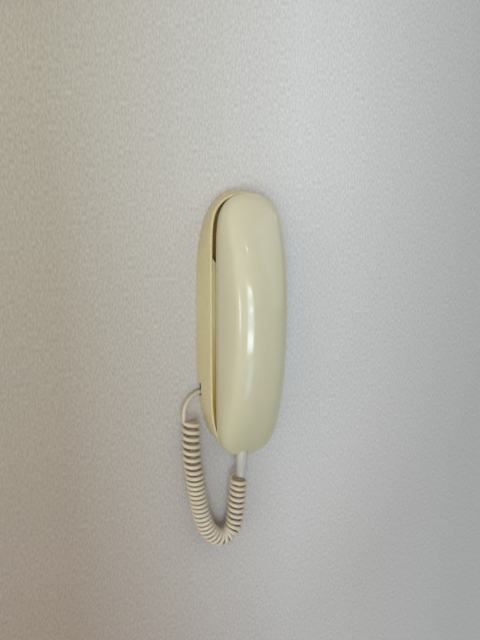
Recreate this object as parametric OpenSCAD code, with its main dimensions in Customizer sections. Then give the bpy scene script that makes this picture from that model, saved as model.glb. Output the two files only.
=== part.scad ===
// Compact wall telephone: a slim base on the wall, covered by an arched handset that hangs on it,
// with a curly cord from the base's flank to the handset's lower end.
//
// Frame: X to the right, Y into the wall, Z up. The wall is the plane Y = 0, and the origin is
// midway between the two wall screws. Every module below works in (x, y, z) = (right, up, out of
// the wall), and on_wall() turns that into the frame.

/* [Base] */
// Width of the base against the wall
foot_w = 64; // [62:0.5:68]
// Length of the base against the wall
foot_l = 197; // [195:0.5:202]
// Width of the rim around the handset
rim_w = 57; // [56:0.5:59]
// Length of the rim
rim_l = 194; // [193:0.5:196]
// Height of the rim above the wall
base_z = 18; // [17.5:0.25:20]
// Wall of the base shell
base_wall = 2; // [1.6:0.1:2.4]
// Width of the rim's edge
rim_t = 1.6; // [1.4:0.1:2]
// Depth of the cradle's deck below the rim
deck_drop = 2.5; // [2:0.1:2.8]
// Thickness of the cradle plate
deck_t = 2; // [1.8:0.1:2.2]
// Radius of the well that takes the ear cup
ear_well_r = 31; // [30:0.25:32]
// Height of the ear well's floor above the wall
ear_floor_z = 6.4; // [6.2:0.1:7.5]
// Radius of the well that takes the mouthpiece
mouth_well_r = 18.5; // [18:0.25:19.5]
// Depth of the mouthpiece well below the deck
mouth_well_h = 5; // [4.5:0.25:6]

/* [Handset] */
// Width of the handset
hand_w = 49; // [48:0.5:51]
// Length of the handset
hand_l = 196; // [195:0.5:200]
// Height of the handset's crown above its edge
hand_h = 32.5; // [31:0.5:36]
// Wall of the handset shell
hand_wall = 2.2; // [1.8:0.1:2.6]
// Gap between the rim and the handset's edge
rest_gap = 0.4; // [0.3:0.05:0.6]
// Thickness of the face plate
face_t = 2.4; // [2:0.1:2.8]
// Diameter of the ear cup
ear_d = 44; // [42:0.5:46]
// How far the ear cup stands out of the face
ear_h = 6.4; // [5.5:0.1:6.8]
// Height of the ear cup's centre above the origin
ear_y = 64; // [63:0.5:65]
// Diameter of the mouthpiece pad
mouth_d = 32; // [30:0.5:34]
// How far the mouthpiece pad stands out of the face
mouth_h = 3.4; // [3:0.1:4]
// Height of the mouthpiece's centre (below the origin)
mouth_y = -76; // [-77:0.5:-75.5]

/* [Keypad] */
// Distance between key columns
key_dx = 14; // [13:0.25:14.5]
// Distance between key rows
key_dy = 12.5; // [11.5:0.25:13]
// Width of a key
key_w = 10; // [9:0.25:10.5]
// Height of a key
key_l = 8; // [7:0.25:8.5]
// How far a key stands out of the face
key_out = 1.7; // [1.4:0.1:1.9]
// Travel of a key
key_travel = 1.2; // [0.9:0.1:1.3]

/* [Wall fixing] */
// Distance between the two wall screws
screw_pitch = 83.5; // [82:0.5:85]
// Diameter of the wall screw holes
screw_hole_d = 4.4; // [4:0.1:5]
// Thickness of the wall bracket
bracket_t = 1.2; // [1:0.1:1.4]
// Width of the wall bracket
bracket_w = 32; // [30:0.5:36]
// Length of the wall bracket
bracket_l = 100; // [98:0.5:104]

/* [Hook] */
// Diameter of the hook plunger
plunger_d = 6; // [5.5:0.1:6.5]
// Travel of the hook plunger
plunger_travel = 2.8; // [2.4:0.1:2.8]
// Width of the hanger clip
clip_w = 12; // [10:0.5:13]

/* [Cord] */
// Diameter of the cord itself
cord_d = 3.2; // [3:0.1:3.4]
// Outer diameter of the curly cord
coil_d = 14.5; // [13.5:0.25:15]

/* [Hidden] */

$fn = 64;
part_gap = 0.15;    // clearance between pieces that drop into each other
run_gap = 0.08;     // radial clearance of a sliding fit
overcut = 1;        // how far a cut runs past the face that it opens

// Outlines: |x/a|^p + |y/b|^q = 1, squarer as p and q grow, with one q below the middle and
// one above it
foot_mid = -0.5;
foot_p = 2;
foot_q = [3.9, 3.9];
rim_mid = -1.5;
rim_p = 1.8;
rim_q = [7, 11.5];
flank_bulge = 1.6;  // above 1 the flank is convex
hand_mid = -3;
hand_p = 1.85;
hand_q = 10.5;

// The handset's back: an arch along its length, with a squarish section
arch_drop_top = 0.30;
arch_drop_low = 0.37;
arch_lean = 2.5;    // how much thicker the ear end is than the mouth end
arch_m = 2.5;
section_n = 2.78;

// Levels, measured out of the wall
deck_top = base_z - deck_drop;
deck_low = deck_top - deck_t;
ear_floor_low = ear_floor_z - deck_t;
mouth_floor_z = deck_top - mouth_well_h;
edge_z = base_z + rest_gap;
face_in = edge_z + face_t;
ear_top = edge_z - ear_h;
mouth_top = edge_z - mouth_h;

// Wall bracket, its posts and the circuit board on them; the line's opening goes through both
cable_low = [-10, -1];
cable_high = [6, 9];
bracket_r = 4;
post_y = [16, -34];
post_d = 7;
post_shoulder_d = 10;
board_z = bracket_t + 3.2;
board_t = 1.6;
board_top = board_z + board_t;
board_w = 44;
board_y = [-57, 25];
chip_at = [-19, -40];
chip_size = [10, 7, 2.4];
transformer_at = [-21, 6];
transformer_size = [10, 11, 6];
capacitor_at = [[15, -26], [15, -38]];
capacitor_d = 8;
capacitor_h = 6.5;
terminal_at = [8, 4];
terminal_size = [12, 16, 6];
terminal_well_d = 4;
terminal_well_h = 3;
ringer_y = -16;
ringer_d = 26;
ringer_h = 5.5;
ringer_hole_d = 3;
ringer_hole_h = 1;
pilot_d = 2.5;
pilot_h = 9;
screw_d = 2.9;
screw_head_d = 5.6;
screw_head_h = 1.6;
screw_l = 9;
hand_screw_l = 6.4;
tip_gap = 1;        // free depth below a screw's tip

// Cradle: ear well, lugs under the deck, hook plunger, hanger clip
ear_well_y = ear_y + 3;
lug_y = [-60, -20, 20];
lug_l = 8;
lug_h = 1.5;
lug_reach = 1.8;
hook_y = -50;
collar_d = 9;
collar_h = 1;
switch_w = 10;
switch_h = 2;
stem_d = 3;
spring_r = 2.9;
spring_wire_r = 0.2;
stem_l = plunger_travel + 2;
plunger_tip = edge_z - 0.05;
collar_z = deck_low - part_gap - plunger_travel - collar_h;
clip_drop = 9;      // from the ear well's lower end to the clip
clip_y = ear_well_y - ear_well_r - clip_drop;
clip_t = 3;
clip_slope = 15;
clip_tip = face_in + 2;
clip_foot = 3;
clip_foot_h = 1.4;

// Cord exit in the left flank, low down and against the wall
notch_y = -48.3;
notch_l = 10;
notch_h = 5.6;
notch_reach = 12;   // how far in from the foot's edge the notch is cut
clamp_x = -foot_w / 2 + base_wall + 0.6;
clamp_gap = 1.2;    // between the clamp and the bracket
clamp_step = 2.2;   // how much further out the clamp reaches in the notch than above it
clamp_foot_h = 1;
lead_y = notch_y - 2.5;
lead_z = 2.6;

// Handset face: keypad windows, pillars, screws and capsules
key_cols = 3;
key_rows = 4;
keypad_y = -10;
key_fit = 0.25;
key_flange = 0.7;
key_flange_h = 1.2;
key_back = face_in + key_fit + key_flange_h;
dome_h = key_travel + 0.3;
dome_d = 7;
membrane_t = 0.8;
membrane_z = key_back + 0.05 + dome_h;
keyboard_z = membrane_z + membrane_t;
keyboard_w = 41;
pillar_x = 17.3;
pillar_clear = 4.45;
pillar_off = (key_rows - 1) / 2 * key_dy + key_l / 2 + pillar_clear;
pillar_y = [keypad_y - pillar_off, keypad_y + pillar_off];
pillar_d = 5;
pillar_margin = 3;
keypad_screw_l = 3.5;
keypad_head_d = 4.4;
keypad_head_h = 1.4;
dome_margin = 2;
hand_screws = [[16.5, 36], [14.5, hand_mid - hand_l / 2 + 12]];
boss_d = 5.2;
cup_skin = 2;
cavity_d = 37;
capsule_d = 36;
capsule_h = 10;
capsule_shoulder = 5;
capsule_cap_h = 3;
gasket_t = 1;
ear_hole_d = 2.2;
ear_hole_ring = 7;
dish_r = 130;
dish_h = 1;
boot_socket_d = 14.4;
mic_boot_h = 7.4;
mic_d = 9.7;
mic_h = 6;
mouth_skin = 1.6;
weight_size = [26, 13, 12];
weight_y = -58;

// The cord leaves the clamp along x, goes round to the coil's side, and meets the coil along y.
// The short tail leaves the coil's upper right end beside its axis and runs into the boot.
lead_start = [clamp_x, lead_y, lead_z];
lead_route = [[clamp_x - 2, lead_y, lead_z], [-34.2, -51.5, 3.3], [-39.4, -54, 4.8], [-43.4, -58, 6.5],
    [-45.5, -62, 7.8], [-46, -65.5, 8.5]];
lead_end = [-46, -69.8, 8.5];
coil_start = [-40.6, -69.8, 8.5];
tail_line = unit([-0.6, 3, 1.2]);
tail_l = 1.6;
tail_side = 2.3 * unit(cross(tail_line, [0, 0, 1]));
boot_end = [-1.6, -118.2, 15.3];
tail_start = boot_end - tail_l * tail_line;
coil_end = tail_start - tail_side;
coil_route = [[-40.6, -72.8, 8.5], [-40.5, -84, 8.5], [-40, -98, 8.5], [-38.7, -110, 8.5],
    [-36.8, -126, 8.7], [-34.5, -139, 9], [-32.5, -148.5, 9.3], [-29.5, -157.5, 9.6],
    [-24.5, -165.5, 10], [-17, -170.3, 10.5], [-10, -168.5, 11], [-6.2, -161.5, 11.5],
    [-4.8, -153, 12], [-4, -141, 12.4], coil_end - 3 * tail_line];

// Strain relief boot on the handset
boot_x = -5;
boot_r = 4.1;
boot_z = edge_z + boot_r + 0.2;
boot_route = [[boot_x, -93, boot_z], [boot_x, -100, boot_z], [-4.4, -106, 21.2],
    [-3.1, -111.5, 18.8], boot_end + 3 * tail_line, boot_end];
boot_radii = [boot_r, boot_r, 4.1, 4, 3.9, 3.8];

// ---- helpers ----

module on_wall() {
    rotate([90, 0, 0]) children();
}

function unit(v) = v / norm(v);

// Half width of an outline of half width a and half length b, at the share v of the length
function half_at(a, v, p, q) = a * pow(max(0, 1 - pow(abs(v), q)), 1 / p);

// A point of an outline at the angle t; the stations crowd towards both ends
function outline_point(a, b, mid, p, q, t) =
    [sign(cos(t)) * half_at(a, sin(t), p, q[sin(t) > 0 ? 1 : 0]), mid + b * sin(t)];

function outline(w, l, mid, p, q, inset, steps) =
    [for (k = [0:steps - 1])
        outline_point(w / 2 - inset, l / 2 - inset, mid, p, q, 360 * (k + 0.5) / steps)];

// A closed tube along a line of points, one radius for each point
module swept(line, radii, sides) {
    last = len(line) - 1;
    frames = [for (i = [0:last])
        let (t = unit(line[min(i + 1, last)] - line[max(i - 1, 0)]),
            u = unit(cross([0, 0, 1], t)))
        [u, cross(t, u)]];
    points = [for (i = [0:last]) for (j = [0:sides - 1])
        let (a = 360 * j / sides)
        line[i] + radii[i] * (cos(a) * frames[i][0] + sin(a) * frames[i][1])];
    walls = [for (i = [0:last - 1]) for (j = [0:sides - 1])
        let (k = (j + 1) % sides, a = i * sides + j, b = i * sides + k)
        each [[a, a + sides, b + sides], [a, b + sides, b]]];
    start = [for (j = [0:sides - 1]) j];
    end = [for (j = [sides - 1:-1:0]) last * sides + j];
    polyhedron(points, concat([start, end], walls), convexity = 6);
}

// Catmull-Rom curve through the points of a route, with the same number of steps in each span
function curved(route, steps) =
    let (n = len(route) - 1, at = function (i) route[min(max(i, 0), n)])
    [for (i = [0:n - 1]) for (s = [0:steps - 1])
        let (u = s / steps, a = at(i - 1), b = at(i), c = at(i + 1), d = at(i + 2))
        0.5 * (2 * b + (c - a) * u + (2 * a - 5 * b + 4 * c - d) * u * u
            + (3 * b - 3 * c + d - a) * u * u * u),
    route[n]];

module round_rect(w, l, r) {
    square([w - 2 * r, l], center = true);
    square([w, l - 2 * r], center = true);
    for (x = [-1, 1], y = [-1, 1])
        translate([x * (w / 2 - r), y * (l / 2 - r)]) circle(r);
}

module box_from(low, high) {
    translate(low) cube(high - low);
}

// A countersunk screw with its head's top at z = 0, pointing up
module countersunk_screw(l) {
    cylinder(d1 = screw_head_d, d2 = screw_d, h = screw_head_h);
    cylinder(d = screw_d, h = l);
}

module countersunk_hole(l) {
    translate([0, 0, -overcut]) cylinder(d = screw_head_d + 2 * part_gap, h = overcut + 0.001);
    cylinder(d1 = screw_head_d + 2 * part_gap, d2 = screw_d + 2 * part_gap, h = screw_head_h);
    cylinder(d = screw_d + 2 * part_gap, h = l);
}

// ---- base ----

// Share of the way from the wall (0) to the rim (1), and the flank's outline there
function flank_share(z) = pow(z / base_z, flank_bulge);

function flank_point(z, inset, t) =
    let (s = flank_share(z),
        a = foot_w / 2 + (rim_w - foot_w) / 2 * s - inset,
        b = foot_l / 2 + (rim_l - foot_l) / 2 * s - inset,
        mid = foot_mid + (rim_mid - foot_mid) * s,
        p = foot_p + (rim_p - foot_p) * s,
        q = foot_q + (rim_q - foot_q) * s,
        xy = outline_point(a, b, mid, p, q, t))
    [xy[0], xy[1], z];

function rim_point(z, inset, t) =
    let (xy = outline_point(rim_w / 2 - inset, rim_l / 2 - inset, rim_mid, rim_p, rim_q, t))
    [xy[0], xy[1], z];

// Half width of the opening inside the rim
rim_in = rim_w / 2 - rim_t;

function rim_outline(inset) = outline(rim_w, rim_l, rim_mid, rim_p, rim_q, rim_t + inset, 96);

module shell_ring() {
    steps = 96;
    edge_round = 0.5;
    outer_z = [0, 2.5, 5.5, 8.5, 11.5, 14.5, base_z - edge_round];
    inner_z = [deck_low - 3, 5, 0];
    rings = [for (k = [0:steps - 1])
        let (t = 360 * (k + 0.5) / steps)
        concat([for (z = outer_z) flank_point(z, 0, t)],
            [rim_point(base_z, edge_round, t), rim_point(base_z, rim_t - edge_round, t),
                rim_point(base_z - edge_round, rim_t, t), rim_point(deck_low - 1.5, rim_t, t)],
            [for (z = inner_z) flank_point(z, base_wall, t)])];
    m = len(rings[0]);
    points = [for (ring = rings) each ring];
    faces = [for (k = [0:steps - 1]) for (j = [0:m - 1])
        let (a = k * m + j, b = k * m + (j + 1) % m,
            c = ((k + 1) % steps) * m + (j + 1) % m, d = ((k + 1) % steps) * m + j)
        each [[a, b, c], [a, c, d]]];
    polyhedron(points, faces, convexity = 6);
}

module base_shell() color("khaki") on_wall() difference() {
    union() {
        shell_ring();
        for (side = [-1, 1], y = lug_y)
            translate([side * (rim_in + 1 - (lug_reach + 1) / 2), y, deck_low - lug_h / 2])
                cube([lug_reach + 1, lug_l, lug_h], center = true);
    }
    box_from([-foot_w, notch_y - notch_l / 2, -overcut],
        [-foot_w / 2 + notch_reach, notch_y + notch_l / 2, notch_h]);
}

module rim_prism(inset, low, high) {
    translate([0, 0, low]) linear_extrude(high - low) polygon(rim_outline(inset));
}

// Everything inside the flank's wall, as wide as it is at the lower level
module flank_prism(low, high) {
    translate([0, 0, low]) linear_extrude(high - low)
        polygon([for (k = [0:95])
            let (q = flank_point(low, base_wall + 2 * part_gap, 360 * (k + 0.5) / 96))
            [q[0], q[1]]]);
}

// Everything above the arc where the deck ends and the ear well begins
module ear_region(r, low, high) {
    translate([0, ear_well_y, low]) cylinder(r = r, h = high - low, $fn = 96);
    box_from([-foot_w, ear_well_y, low], [foot_w, foot_l, high]);
}

// The wall from the deck down to the ear well's floor, along the arc
module ear_step() difference() {
    translate([0, ear_well_y, ear_floor_z])
        cylinder(r = ear_well_r + deck_t, h = deck_top - ear_floor_z, $fn = 96);
    ear_region(ear_well_r, ear_floor_z - overcut, deck_top + overcut);
}

module cradle_plate() color("wheat") on_wall() difference() {
    union() {
        difference() {
            rim_prism(part_gap, deck_low, deck_top);
            ear_region(ear_well_r, deck_low - overcut, deck_top + overcut);
        }
        intersection() {
            rim_prism(part_gap, ear_floor_low, deck_top);
            union() {
                ear_step();
                intersection() {
                    flank_prism(ear_floor_low, ear_floor_z);
                    ear_region(ear_well_r + deck_t, ear_floor_low - overcut, ear_floor_z + overcut);
                }
            }
        }
        translate([0, mouth_y, mouth_floor_z - deck_t])
            cylinder(r = mouth_well_r + deck_t, h = deck_top - mouth_floor_z);
    }
    translate([0, mouth_y, mouth_floor_z]) cylinder(r = mouth_well_r, h = mouth_well_h + overcut);
    translate([0, hook_y, deck_low - overcut])
        cylinder(d = plunger_d + 2 * run_gap, h = deck_t + 2 * overcut);
    for (y = post_y)
        translate([0, y, deck_top]) mirror([0, 0, 1]) countersunk_hole(deck_t + overcut);
    box_from([-clip_w / 2 - part_gap, clip_y - clip_t / 2 - part_gap, deck_low - overcut],
        [clip_w / 2 + part_gap, clip_y + clip_t / 2 + part_gap, deck_top + overcut]);
}

module cradle_screws() color("silver") on_wall()
    for (y = post_y) translate([0, y, deck_top]) mirror([0, 0, 1]) countersunk_screw(screw_l);

// The tab that the handset hangs on: its upper side slopes up outwards, and a foot holds it
// under the deck
module hanger_clip() color("ivory") on_wall() {
    low = clip_y - clip_t / 2;
    high = clip_y + clip_t / 2;
    rise = tan(clip_slope) * (clip_tip - deck_top);
    translate([-clip_w / 2, 0, 0]) rotate([90, 0, 90]) linear_extrude(clip_w)
        polygon([[low, deck_low], [high, deck_low], [high, deck_top], [high + rise, clip_tip],
            [low + 1, clip_tip], [low, clip_tip - 1]]);
    box_from([-clip_w / 2 - clip_foot, low - clip_foot, deck_low - clip_foot_h],
        [clip_w / 2 + clip_foot, high, deck_low]);
}

module wall_bracket() color("silver") on_wall() difference() {
    union() {
        linear_extrude(bracket_t) round_rect(bracket_w, bracket_l, bracket_r);
        for (y = post_y) translate([0, y, 0]) {
            cylinder(d = post_shoulder_d, h = board_z);
            cylinder(d = post_d, h = deck_low);
        }
    }
    box_from(concat(cable_low, [-overcut]), concat(cable_high, [bracket_t + overcut]));
    for (y = [-1, 1] * screw_pitch / 2)
        translate([0, y, -overcut]) cylinder(d = screw_hole_d, h = bracket_t + 2 * overcut);
    for (y = post_y) translate([0, y, deck_low - pilot_h]) cylinder(d = screw_d, h = pilot_h + overcut);
}

module base_board() color("darkgreen") on_wall() difference() {
    box_from([-board_w / 2, board_y[0], board_z], [board_w / 2, board_y[1], board_top]);
    for (y = post_y) translate([0, y, board_z - overcut])
        cylinder(d = post_d + 2 * part_gap, h = board_t + 2 * overcut);
    box_from(concat(cable_low, [board_z - overcut]), concat(cable_high, [board_top + overcut]));
    translate([0, hook_y, board_z - overcut])
        cylinder(d = stem_d + 2 * part_gap, h = board_t + 2 * overcut);
}

// Speech chip, line transformer and two capacitors
module board_parts() color("dimgray") on_wall() translate([0, 0, board_top]) {
    translate(chip_at) cube(chip_size);
    translate(transformer_at) cube(transformer_size);
    for (p = capacitor_at) translate(p) cylinder(d = capacitor_d, h = capacitor_h);
}

module line_terminal() color("darkslategray") on_wall()
    translate(concat(terminal_at, [board_top])) difference() {
        cube(terminal_size);
        for (share = [0.25, 0.75])
            translate([terminal_size[0] / 2, terminal_size[1] * share, terminal_size[2] - terminal_well_h])
                cylinder(d = terminal_well_d, h = terminal_well_h + overcut);
    }

module ringer() color("black") on_wall() translate([0, ringer_y, board_top]) difference() {
    cylinder(d = ringer_d, h = ringer_h);
    translate([0, 0, ringer_h - ringer_hole_h]) cylinder(d = ringer_hole_d, h = ringer_hole_h + overcut);
}

module hook_switch() color("black") on_wall() translate([0, hook_y, board_top]) difference() {
    box_from([-switch_w / 2, -switch_w / 2, 0], [switch_w / 2, switch_w / 2, switch_h]);
    translate([0, 0, -overcut]) cylinder(d = stem_d + 2 * run_gap, h = switch_h + 2 * overcut);
}

module hook_spring() color("silver") on_wall() {
    turns = 2;
    per_turn = 16;
    low = board_top + switch_h + spring_wire_r;
    high = collar_z - spring_wire_r;
    line = [for (i = [0:turns * per_turn])
        let (a = 360 * i / per_turn)
        [spring_r * cos(a), hook_y + spring_r * sin(a), low + (high - low) * i / (turns * per_turn)]];
    swept(line, [for (p = line) spring_wire_r], 6);
}

module hook_plunger() color("gray") on_wall() translate([0, hook_y, 0]) {
    tip_round = 0.8;
    translate([0, 0, collar_z - stem_l]) cylinder(d = stem_d, h = stem_l);
    translate([0, 0, collar_z]) cylinder(d = collar_d, h = collar_h);
    translate([0, 0, collar_z + collar_h])
        cylinder(d = plunger_d, h = plunger_tip - tip_round - collar_z - collar_h);
    translate([0, 0, plunger_tip - tip_round])
        cylinder(d1 = plunger_d, d2 = plunger_d - 2 * tip_round, h = tip_round);
}

// Clamp on the cord just inside the notch, with a foot that holds the board from below
module cord_clamp() color("ivory") on_wall() {
    low = notch_y - notch_l / 2;
    high = notch_y + notch_l / 2;
    box_from([clamp_x, low, part_gap], [-bracket_w / 2 - clamp_gap, high, board_z]);
    box_from([clamp_x + clamp_step, low, board_z],
        [-board_w / 2 - part_gap, high, board_top + clamp_foot_h]);
}

// ---- cord ----

module cord_lead() color("cornsilk") on_wall() {
    line = concat([lead_start], curved(lead_route, 2), [lead_end]);
    swept(line, [for (p = line) cord_d / 2], 8);
}

module cord_coil() color("cornsilk") on_wall() {
    line = concat([coil_start], curved(coil_route, 3), [coil_end]);
    swept(line, [for (p = line) coil_d / 2], 12);
}

module cord_tail() color("cornsilk") on_wall()
    swept([tail_start, boot_end], [cord_d / 2, cord_d / 2], 8);

// ---- handset ----

function arch(v) = v > 0 ? arch_drop_top : arch_drop_low;

// Height of the crown above the edge, for a skin that lies inset inside the outer one
function crown(v, inset) =
    ((hand_h - inset) * (1 - arch(v) * v * v) + arch_lean * v) * sqrt(max(0, 1 - pow(abs(v), arch_m)));

function hand_half(v, inset) = half_at(hand_w / 2 - inset, v, hand_p, hand_q);

// Height of a skin above the wall at a point
function skin_z(x, y, inset) =
    let (v = (y - hand_mid) / (hand_l / 2 - inset), w = hand_half(v, inset))
    edge_z + crown(v, inset) * pow(max(0, 1 - pow(abs(x) / w, section_n)), 1 / section_n);

// One section of a skin, from its right edge over the crown to its left edge
function section(v, inset, steps) =
    let (w = hand_half(v, inset), h = crown(v, inset), e = 2 / section_n,
        y = hand_mid + (hand_l / 2 - inset) * v)
    [for (j = [0:steps])
        let (a = 180 * j / steps)
        [w * sign(cos(a)) * pow(abs(cos(a)), e), y, edge_z + h * pow(abs(sin(a)), e)]];

module hand_bowl() {
    n = 40;
    m = 24;
    row = m + 1;
    skin = function (inset) concat(
        [[0, hand_mid - hand_l / 2 + inset, edge_z]],
        [for (i = [1:n - 1]) each section(sin(-90 + 180 * i / n), inset, m)],
        [[0, hand_mid + hand_l / 2 - inset, edge_z]]);
    size = (n - 1) * row + 2;
    top = size - 1;
    at = function (i, j) 1 + (i - 1) * row + j;
    outer = concat(
        [for (j = [0:m - 1]) [0, at(1, j + 1), at(1, j)]],
        [for (i = [1:n - 2]) for (j = [0:m - 1])
            each [[at(i, j), at(i, j + 1), at(i + 1, j + 1)], [at(i, j), at(i + 1, j + 1), at(i + 1, j)]]],
        [for (j = [0:m - 1]) [at(n - 1, j), at(n - 1, j + 1), top]]);
    inner = [for (f = outer) [f[2] + size, f[1] + size, f[0] + size]];
    side = function (j) concat([0], [for (i = [1:n - 1]) at(i, j)], [top]);
    rim = function (s) [for (i = [0:n - 1])
        each [[s[i], s[i + 1], s[i + 1] + size], [s[i], s[i + 1] + size, s[i] + size]]];
    right = rim(side(0));
    left = [for (f = rim(side(m))) [f[2], f[1], f[0]]];
    polyhedron(concat(skin(0), skin(hand_wall)), concat(outer, inner, right, left), convexity = 6);
}

module handset_shell() color("ivory") on_wall() difference() {
    union() {
        hand_bowl();
        for (s = hand_screws, side = [-1, 1])
            translate([side * s[0], s[1], face_in])
                cylinder(d = boss_d, h = skin_z(s[0], s[1], hand_wall) - face_in);
    }
    for (s = hand_screws, side = [-1, 1])
        translate([side * s[0], s[1], face_in - overcut])
            cylinder(d = screw_d, h = hand_screw_l - face_t + tip_gap + overcut);
    boot_slot();
}

// Way out for the boot through the handset's lower end, open to the face so that it drops in
module boot_slot() {
    r = boot_r + part_gap;
    low = hand_mid - hand_l / 2 - overcut;
    high = boot_route[0][1] + part_gap;
    translate([boot_x, low, boot_z]) rotate([-90, 0, 0]) cylinder(r = r, h = high - low);
    box_from([boot_x - r, low, edge_z - overcut], [boot_x + r, high, boot_z]);
}

// Place of a key, counted from the upper left as the user sees the face, so from positive x
function key_place(i) = [
    ((key_cols - 1) / 2 - i % key_cols) * key_dx,
    keypad_y + ((key_rows - 1) / 2 - floor(i / key_cols)) * key_dy];

// Share of the half length at which a skin's crown comes down to a height, on one side (1 or -1)
function level_end(h, inset, side, low = 0.5, high = 1, left = 24) =
    left == 0 ? side * low
    : let (v = (low + high) / 2)
        crown(side * v, inset) > h ? level_end(h, inset, side, v, high, left - 1)
        : level_end(h, inset, side, low, v, left - 1);

// Outline of the room inside a skin at a height above the handset's edge
function level_outline(h, inset, steps) =
    let (low = level_end(h, inset, -1), high = level_end(h, inset, 1))
    [for (k = [0:steps - 1])
        let (t = 360 * (k + 0.5) / steps,
            v = (low + high) / 2 + (high - low) / 2 * sin(t),
            r = min(1, h / crown(v, inset)))
        [sign(cos(t)) * hand_half(v, inset) * pow(1 - pow(r, section_n), 1 / section_n),
            hand_mid + (hand_l / 2 - inset) * v]];

module face_solid() {
    plate_inset = hand_wall + part_gap;
    step = face_t / 3;
    for (k = [0:2]) translate([0, 0, edge_z + k * step]) linear_extrude(step)
        polygon(level_outline((k + 1) * step, plate_inset, 96));
    chamfer = 1.2;
    translate([0, ear_y, ear_top]) cylinder(d1 = ear_d - 2 * chamfer, d2 = ear_d, h = chamfer);
    translate([0, ear_y, ear_top + chamfer]) cylinder(d = ear_d, h = ear_h + face_t - chamfer);
    translate([0, mouth_y, mouth_top]) cylinder(d1 = mouth_d - 2 * chamfer, d2 = mouth_d, h = chamfer);
    translate([0, mouth_y, mouth_top + chamfer]) cylinder(d = mouth_d, h = mouth_h + face_t - chamfer);
    for (x = [-1, 1] * pillar_x, y = pillar_y)
        translate([x, y, edge_z]) cylinder(d = pillar_d, h = keyboard_z - edge_z);
}

module handset_face() color("ivory") on_wall() difference() {
    face_solid();
    // ear cup: cavity, dish and sound holes
    translate([0, ear_y, ear_top + cup_skin + dish_h]) cylinder(d = cavity_d, h = ear_h + face_t);
    translate([0, ear_y, ear_top + dish_h - dish_r]) sphere(r = dish_r, $fn = 96);
    for (a = [0:60:300])
        translate([ear_hole_ring * cos(a), ear_y + ear_hole_ring * sin(a), ear_top - overcut])
            cylinder(d = ear_hole_d, h = 6, $fn = 24);
    translate([0, ear_y, ear_top - overcut]) cylinder(d = ear_hole_d, h = 6, $fn = 24);
    // mouthpiece: socket and sound holes
    translate([0, mouth_y, mouth_top + mouth_skin]) cylinder(d = boot_socket_d, h = mouth_h + face_t);
    for (x = [-4, 0, 4]) translate([x, mouth_y, mouth_top - overcut])
        cylinder(d = 1.8, h = mouth_skin + 2 * overcut, $fn = 24);
    // keypad windows
    for (i = [0:key_cols * key_rows - 1]) translate(concat(key_place(i), [edge_z + face_t / 2]))
        cube([key_w + 2 * key_fit, key_l + 2 * key_fit, face_t + 2 * overcut], center = true);
    // slot that hangs on the clip
    slot_low = clip_y - clip_t / 2 - 2;
    slot_high = clip_y + clip_t / 2 + tan(clip_slope) * (face_in - deck_top) + part_gap;
    box_from([-clip_w / 2 - 0.5, slot_low, edge_z - overcut], [clip_w / 2 + 0.5, slot_high, face_in + overcut]);
    for (s = hand_screws, side = [-1, 1])
        translate([side * s[0], s[1], edge_z]) countersunk_hole(face_t + overcut);
    for (x = [-1, 1] * pillar_x, y = pillar_y)
        translate([x, y, keyboard_z - keypad_screw_l - tip_gap])
            cylinder(d = pilot_d, h = keypad_screw_l + tip_gap + overcut, $fn = 32);
    boot_slot();
}

module handset_screws() color("silver") on_wall()
    for (s = hand_screws, side = [-1, 1])
        translate([side * s[0], s[1], edge_z]) countersunk_screw(hand_screw_l);

module receiver_gasket() color("black") on_wall()
    translate([0, ear_y, ear_top + cup_skin + dish_h]) difference() {
        cylinder(d = capsule_d, h = gasket_t);
        translate([0, 0, -overcut]) cylinder(d = capsule_d - 2 * capsule_shoulder, h = gasket_t + 2 * overcut);
    }

module receiver_capsule() color("dimgray") on_wall()
    translate([0, ear_y, ear_top + cup_skin + dish_h + gasket_t]) {
        cylinder(d = capsule_d, h = capsule_h - capsule_cap_h);
        translate([0, 0, capsule_h - capsule_cap_h])
            cylinder(d = capsule_d - 2 * capsule_shoulder, h = capsule_cap_h);
    }

module mic_boot() color("black") on_wall()
    translate([0, mouth_y, mouth_top + mouth_skin]) difference() {
        cylinder(d = boot_socket_d - 2 * run_gap, h = mic_boot_h);
        translate([0, 0, -overcut]) cylinder(d = mic_d - 3, h = 3);
        translate([0, 0, mic_boot_h - mic_h]) cylinder(d = mic_d + 2 * run_gap, h = mic_h + overcut);
    }

module microphone() color("silver") on_wall()
    translate([0, mouth_y, mouth_top + mouth_skin + mic_boot_h - mic_h]) cylinder(d = mic_d, h = mic_h);

module handset_weight() color("slategray") on_wall()
    box_from([-weight_size[0] / 2, weight_y, face_in],
        [weight_size[0] / 2, weight_y + weight_size[1], face_in + weight_size[2]]);

// Rubber sheet with a dome under each key
module keypad_membrane() color("lightgray") on_wall() {
    sheet_w = (key_cols - 1) * key_dx + dome_d + 2 * dome_margin;
    sheet_l = (key_rows - 1) * key_dy + dome_d + 2 * dome_margin;
    box_from([-sheet_w / 2, keypad_y - sheet_l / 2, membrane_z],
        [sheet_w / 2, keypad_y + sheet_l / 2, membrane_z + membrane_t]);
    for (i = [0:key_cols * key_rows - 1])
        translate(concat(key_place(i), [membrane_z - dome_h]))
            cylinder(d1 = dome_d - 2, d2 = dome_d, h = dome_h + 0.1);
}

module keypad_board() color("darkgreen") on_wall() difference() {
    box_from([-keyboard_w / 2, pillar_y[0] - pillar_margin, keyboard_z],
        [keyboard_w / 2, pillar_y[1] + pillar_margin, keyboard_z + board_t]);
    for (x = [-1, 1] * pillar_x, y = pillar_y)
        translate([x, y, keyboard_z - overcut]) cylinder(d = pilot_d + 0.4, h = board_t + 2 * overcut);
}

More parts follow.
